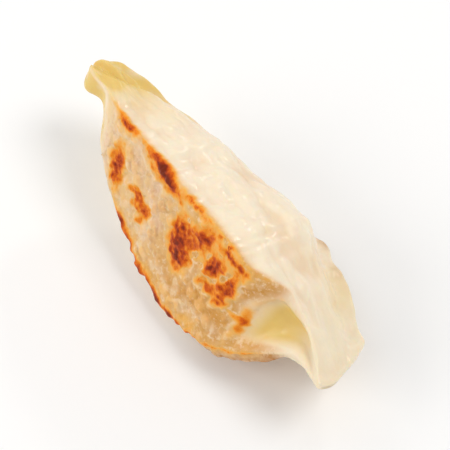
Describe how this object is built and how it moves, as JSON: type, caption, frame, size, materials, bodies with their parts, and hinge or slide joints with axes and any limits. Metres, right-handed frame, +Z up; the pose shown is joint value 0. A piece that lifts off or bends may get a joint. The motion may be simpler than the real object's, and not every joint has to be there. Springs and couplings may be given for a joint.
{
  "type": "pan-fried gyoza dumpling",
  "caption": "Pan-fried crescent dumpling lying on its pleated side, with a flat browned foot, a smooth belly, a pinched seam and a flat flap at one end.",
  "frame": {"origin": "on the table under the middle of the dumpling's box", "axes": "+X along the dumpling towards the flat flap of the seam, +Y from the browned foot to the seam, +Z up"},
  "size_m": [0.086, 0.0358, 0.0283],
  "materials": {
    "dough": "cooked wheat dough, soft satin sheen, toasted brown in spots on its foot"
  },
  "bodies": {
    "root": {"gyoza": "dough"}
  },
  "joints": []
}
